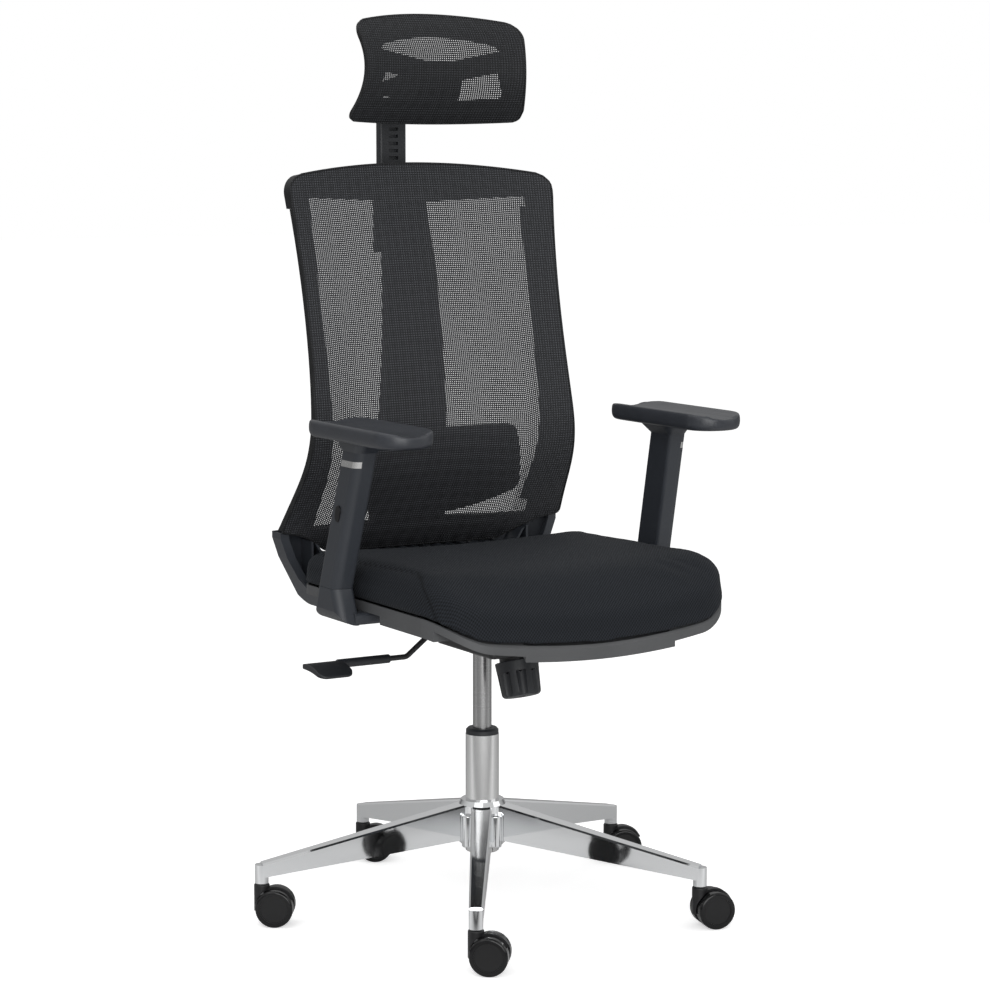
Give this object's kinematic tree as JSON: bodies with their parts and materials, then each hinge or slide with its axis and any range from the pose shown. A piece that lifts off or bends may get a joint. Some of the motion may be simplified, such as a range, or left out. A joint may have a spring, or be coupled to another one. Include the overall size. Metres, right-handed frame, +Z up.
{
  "type": "swivel office chair",
  "caption": "Swivel office chair with mesh back, adjustable headrest and lumbar pad, upholstered seat, height-adjustable arms, gas lift and chromed star base on castors.",
  "frame": {"origin": "on the floor, on the axis of the gas column", "axes": "+Z up, -Y towards the front of the seat, -X towards the sitter's right hand"},
  "size_m": [0.7082, 0.6964, 1.3285],
  "materials": {
    "chrome": "polished plating over a casting",
    "satin_chrome": "satin plated tube",
    "steel": "plain zinc plated steel",
    "black_metal": "black powder coat",
    "black_plastic": "fine grained black moulding",
    "pan_plastic": "grained dark grey moulding",
    "arm_plastic": "satin dark grey moulding",
    "pad_pu": "soft moulded polyurethane",
    "trim_chrome": "polished strip",
    "caster_nylon": "black nylon",
    "wheel_nylon": "black nylon with a polished rim",
    "rubber": "plain rubber",
    "seat_fabric": "fine diagonal woven cloth",
    "mesh_fabric": "open knitted mesh"
  },
  "bodies": {
    "base": {"base_star": "chrome", "column_tube": "satin_chrome", "column_bush": "black_plastic"},
    "gas_rod": {"piston_rod": "steel"},
    "lift": {"gas_cylinder": "satin_chrome", "mechanism_housing": "black_metal", "tilt_shaft": "steel", "torsion_sleeves": "rubber", "tension_yoke": "steel"},
    "valve": {"valve_pin": "steel"},
    "tension": {"tension_knob": "black_plastic", "tension_bolt": "steel"},
    "tilt_lock": {"tilt_lock_slider": "black_plastic"},
    "lever": {"lever_rod": "black_metal", "lever_handle": "black_plastic"},
    "seat": {"seat_plate": "black_metal", "seat_pan": "pan_plastic", "seat_cushion": "seat_fabric", "assembly_bolts": "steel", "arm_bracket_left": "arm_plastic", "arm_bracket_right": "arm_plastic", "back_bracket": "black_plastic", "back_spine": "black_plastic", "back_rail_top": "black_plastic", "back_rail_bottom": "black_plastic", "back_rail_left": "black_plastic", "back_rail_right": "black_plastic", "back_mesh": "mesh_fabric"},
    "lumbar": {"lumbar_pad": "black_plastic"},
    "headrest_slide": {"headrest_post": "black_plastic"},
    "headrest": {"headrest_frame": "black_plastic", "headrest_mesh": "mesh_fabric"},
    "arm_left": {"arm_sleeve_left": "arm_plastic", "arm_pad_left": "pad_pu", "arm_inlay_left": "trim_chrome"},
    "arm_button_left": {"arm_button_left": "black_plastic"},
    "arm_right": {"arm_sleeve_right": "arm_plastic", "arm_pad_right": "pad_pu", "arm_inlay_right": "trim_chrome"},
    "arm_button_right": {"arm_button_right": "black_plastic"},
    "caster_1": {"caster_1_housing": "caster_nylon", "caster_1_pins": "steel"},
    "caster_1_wheel_left": {"caster_1_wheel_left": "wheel_nylon"},
    "caster_1_wheel_right": {"caster_1_wheel_right": "wheel_nylon"},
    "caster_2": {"caster_2_housing": "caster_nylon", "caster_2_pins": "steel"},
    "caster_2_wheel_left": {"caster_2_wheel_left": "wheel_nylon"},
    "caster_2_wheel_right": {"caster_2_wheel_right": "wheel_nylon"},
    "caster_3": {"caster_3_housing": "caster_nylon", "caster_3_pins": "steel"},
    "caster_3_wheel_left": {"caster_3_wheel_left": "wheel_nylon"},
    "caster_3_wheel_right": {"caster_3_wheel_right": "wheel_nylon"},
    "caster_4": {"caster_4_housing": "caster_nylon", "caster_4_pins": "steel"},
    "caster_4_wheel_left": {"caster_4_wheel_left": "wheel_nylon"},
    "caster_4_wheel_right": {"caster_4_wheel_right": "wheel_nylon"},
    "caster_5": {"caster_5_housing": "caster_nylon", "caster_5_pins": "steel"},
    "caster_5_wheel_left": {"caster_5_wheel_left": "wheel_nylon"},
    "caster_5_wheel_right": {"caster_5_wheel_right": "wheel_nylon"}
  },
  "joints": [
    {"name": "seat_swivel", "type": "hinge", "parent": "base", "child": "gas_rod", "pos_m": [0, 0, 0.2], "axis": [0, 0, 1], "continuous": true},
    {"name": "seat_height", "type": "slide", "parent": "gas_rod", "child": "lift", "axis": [0, 0, 1], "range_m": [-0.1, 0]},
    {"name": "height_valve", "type": "slide", "parent": "lift", "child": "valve", "axis": [0, 0, 1], "range_m": [-0.005, 0]},
    {"name": "tension_turn", "type": "hinge", "parent": "lift", "child": "tension", "pos_m": [0, -0.107, 0.3655], "axis": [0, 0.309, 0.9511], "range_deg": [-720, 720]},
    {"name": "tilt_lock", "type": "slide", "parent": "lift", "child": "tilt_lock", "axis": [-1, 0, 0], "range_m": [0, 0.012]},
    {"name": "height_lever", "type": "hinge", "parent": "tilt_lock", "child": "lever", "pos_m": [-0.057, -0.018, 0.4355], "axis": [0, 1, 0], "range_deg": [0, 5], "stiffness_Nm_per_rad": 4, "springref_deg": -2.86},
    {"name": "seat_tilt", "type": "hinge", "parent": "lift", "child": "seat", "pos_m": [0, -0.045, 0.4475], "axis": [-1, 0, 0], "range_deg": [0, 14], "stiffness_Nm_per_rad": 130, "springref_deg": -22.92},
    {"name": "lumbar_height", "type": "slide", "parent": "seat", "child": "lumbar", "axis": [0, 0, 1], "range_m": [0, 0.04]},
    {"name": "headrest_height", "type": "slide", "parent": "seat", "child": "headrest_slide", "axis": [0, 0, 1], "range_m": [-0.045, 0.01]},
    {"name": "headrest_tilt", "type": "hinge", "parent": "headrest_slide", "child": "headrest", "pos_m": [0, 0.28, 1.2215], "axis": [1, 0, 0], "range_deg": [-15, 20]},
    {"name": "arm_left_height", "type": "slide", "parent": "seat", "child": "arm_left", "axis": [-0.0519, -0.2702, 0.9614], "range_m": [0, 0.07]},
    {"name": "arm_left_button", "type": "slide", "parent": "arm_left", "child": "arm_button_left", "axis": [-1, 0, 0], "range_m": [0, 0.003], "stiffness_N_per_m": 600, "springref_m": -0.002},
    {"name": "arm_right_height", "type": "slide", "parent": "seat", "child": "arm_right", "axis": [0.0519, -0.2702, 0.9614], "range_m": [0, 0.07]},
    {"name": "arm_right_button", "type": "slide", "parent": "arm_right", "child": "arm_button_right", "axis": [1, 0, 0], "range_m": [0, 0.003], "stiffness_N_per_m": 600, "springref_m": -0.002},
    {"name": "caster_1_swivel", "type": "hinge", "parent": "base", "child": "caster_1", "pos_m": [-0.17658, -0.28703, 0.0615], "axis": [0, 0, 1], "continuous": true},
    {"name": "caster_1_wheel_left_roll", "type": "hinge", "parent": "caster_1", "child": "caster_1_wheel_left", "pos_m": [-0.16082, -0.29935, 0.0275], "axis": [0.6157, 0.788, 0], "continuous": true},
    {"name": "caster_1_wheel_right_roll", "type": "hinge", "parent": "caster_1", "child": "caster_1_wheel_right", "pos_m": [-0.16082, -0.29935, 0.0275], "axis": [0.6157, 0.788, 0], "continuous": true},
    {"name": "caster_2_swivel", "type": "hinge", "parent": "base", "child": "caster_2", "pos_m": [0.21842, -0.25664, 0.0615], "axis": [0, 0, 1], "continuous": true},
    {"name": "caster_2_wheel_left_roll", "type": "hinge", "parent": "caster_2", "child": "caster_2_wheel_left", "pos_m": [0.2379, -0.26114, 0.0275], "axis": [0.225, 0.9744, 0], "continuous": true},
    {"name": "caster_2_wheel_right_roll", "type": "hinge", "parent": "caster_2", "child": "caster_2_wheel_right", "pos_m": [0.2379, -0.26114, 0.0275], "axis": [0.225, 0.9744, 0], "continuous": true},
    {"name": "caster_3_swivel", "type": "hinge", "parent": "base", "child": "caster_3", "pos_m": [0.31157, 0.12842, 0.0615], "axis": [0, 0, 1], "continuous": true},
    {"name": "caster_3_wheel_left_roll", "type": "hinge", "parent": "caster_3", "child": "caster_3_wheel_left", "pos_m": [0.3297, 0.11997, 0.0275], "axis": [0.4226, 0.9063, 0], "continuous": true},
    {"name": "caster_3_wheel_right_roll", "type": "hinge", "parent": "caster_3", "child": "caster_3_wheel_right", "pos_m": [0.3297, 0.11997, 0.0275], "axis": [0.4226, 0.9063, 0], "continuous": true},
    {"name": "caster_4_swivel", "type": "hinge", "parent": "base", "child": "caster_4", "pos_m": [-0.02585, 0.33601, 0.0615], "axis": [0, 0, 1], "continuous": true},
    {"name": "caster_4_wheel_left_roll", "type": "hinge", "parent": "caster_4", "child": "caster_4_wheel_left", "pos_m": [-0.00853, 0.32601, 0.0275], "axis": [0.5, 0.866, 0], "continuous": true},
    {"name": "caster_4_wheel_right_roll", "type": "hinge", "parent": "caster_4", "child": "caster_4_wheel_right", "pos_m": [-0.00853, 0.32601, 0.0275], "axis": [0.5, 0.866, 0], "continuous": true},
    {"name": "caster_5_swivel", "type": "hinge", "parent": "base", "child": "caster_5", "pos_m": [-0.32755, 0.07924, 0.0615], "axis": [0, 0, 1], "continuous": true},
    {"name": "caster_5_wheel_left_roll", "type": "hinge", "parent": "caster_5", "child": "caster_5_wheel_left", "pos_m": [-0.31078, 0.06835, 0.0275], "axis": [0.5446, 0.8387, 0], "continuous": true},
    {"name": "caster_5_wheel_right_roll", "type": "hinge", "parent": "caster_5", "child": "caster_5_wheel_right", "pos_m": [-0.31078, 0.06835, 0.0275], "axis": [0.5446, 0.8387, 0], "continuous": true}
  ],
  "couplings": [
    {"joint": "height_valve", "follows": "height_lever", "m_per_rad": -0.057}
  ]
}
